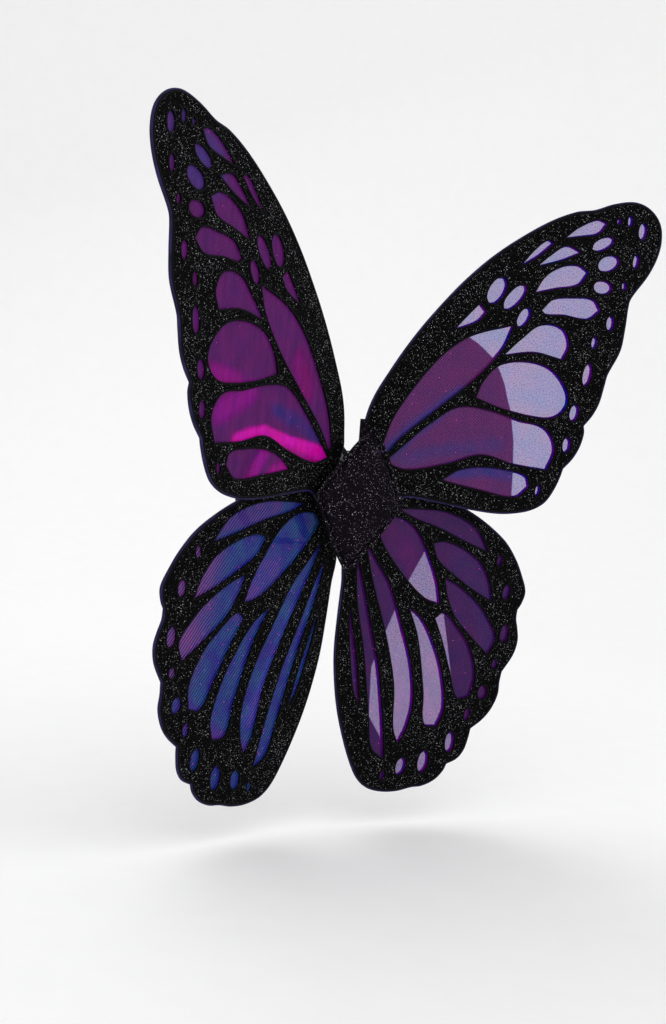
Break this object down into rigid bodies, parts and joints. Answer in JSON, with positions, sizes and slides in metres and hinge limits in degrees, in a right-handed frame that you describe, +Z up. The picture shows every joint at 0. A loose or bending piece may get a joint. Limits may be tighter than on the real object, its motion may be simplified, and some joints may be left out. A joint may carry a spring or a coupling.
{
  "type": "fairy wings",
  "caption": "Butterfly shaped fairy wings for dressing up: stiff film wings with black glitter die-cut faces on a padded diamond, worn with elastic shoulder straps.",
  "frame": {"origin": "middle of the rear pad's flat rear face, which rests on the wearer's back", "axes": "+Y towards the wearer, -Y the decorated side, +Z up, +X to the right of someone who looks at the decorated side"},
  "size_m": [0.5436, 0.209, 0.5514],
  "materials": {
    "black_glitter": "black glitter, matt base with fine silver sparkle",
    "iridescent_film": "sheer shot film, purple to blue",
    "edge_film": "rolled film edge, blue violet",
    "steel_wire": "plain drawn wire",
    "foam": "soft cushion filling",
    "stiff_board": "stiff board",
    "black_fabric": "plain black fabric",
    "strap_elastic": "woven black elastic",
    "adjuster_plastic": "moulded black plastic"
  },
  "bodies": {
    "harness": {"upper_right_root_casing": "black_fabric", "upper_left_root_casing": "black_fabric", "lower_right_root_casing": "black_fabric", "lower_left_root_casing": "black_fabric", "core_board_right": "stiff_board", "core_board_left": "stiff_board", "right_strap": "strap_elastic", "left_strap": "strap_elastic", "front_pad_cover": "black_glitter", "front_pad_foam": "foam", "front_pad_lining": "black_fabric", "front_pad_piping": "black_glitter", "top_tab": "black_glitter", "filler_wedge": "foam", "rear_pad_foam": "foam", "rear_pad_cover": "black_fabric"},
    "upper_right_wing": {"upper_right_wire": "steel_wire", "upper_right_film": "iridescent_film", "upper_right_front_overlay": "black_glitter", "upper_right_rear_overlay": "black_glitter", "upper_right_edge_binding": "edge_film"},
    "upper_left_wing": {"upper_left_wire": "steel_wire", "upper_left_film": "iridescent_film", "upper_left_front_overlay": "black_glitter", "upper_left_rear_overlay": "black_glitter", "upper_left_edge_binding": "edge_film"},
    "lower_right_wing": {"lower_right_wire": "steel_wire", "lower_right_film": "iridescent_film", "lower_right_front_overlay": "black_glitter", "lower_right_rear_overlay": "black_glitter", "lower_right_edge_binding": "edge_film"},
    "lower_left_wing": {"lower_left_wire": "steel_wire", "lower_left_film": "iridescent_film", "lower_left_front_overlay": "black_glitter", "lower_left_rear_overlay": "black_glitter", "lower_left_edge_binding": "edge_film"},
    "right_adjuster": {"right_slider": "adjuster_plastic"},
    "left_adjuster": {"left_slider": "adjuster_plastic"}
  },
  "joints": [
    {"name": "upper_right_bend", "type": "hinge", "parent": "harness", "child": "upper_right_wing", "pos_m": [0.02074, -0.01704, 0.02105], "axis": [0.602, -0.2073, -0.7711], "range_deg": [-3, 18]},
    {"name": "upper_left_bend", "type": "hinge", "parent": "harness", "child": "upper_left_wing", "pos_m": [-0.02074, -0.01704, 0.02105], "axis": [0.602, 0.2073, 0.7711], "range_deg": [-3, 18]},
    {"name": "lower_right_bend", "type": "hinge", "parent": "harness", "child": "lower_right_wing", "pos_m": [0.02059, -0.0141, -0.02124], "axis": [-0.5983, 0.1818, -0.7804], "range_deg": [-18, 2]},
    {"name": "lower_left_bend", "type": "hinge", "parent": "harness", "child": "lower_left_wing", "pos_m": [-0.02059, -0.0141, -0.02124], "axis": [-0.5983, -0.1818, 0.7804], "range_deg": [-18, 2]},
    {"name": "right_adjuster_slide", "type": "slide", "parent": "harness", "child": "right_adjuster", "axis": [0.1483, 0.9889, 0], "range_m": [-0.008, 0.01]},
    {"name": "left_adjuster_slide", "type": "slide", "parent": "harness", "child": "left_adjuster", "axis": [-0.1483, 0.9889, 0], "range_m": [-0.008, 0.01]}
  ]
}
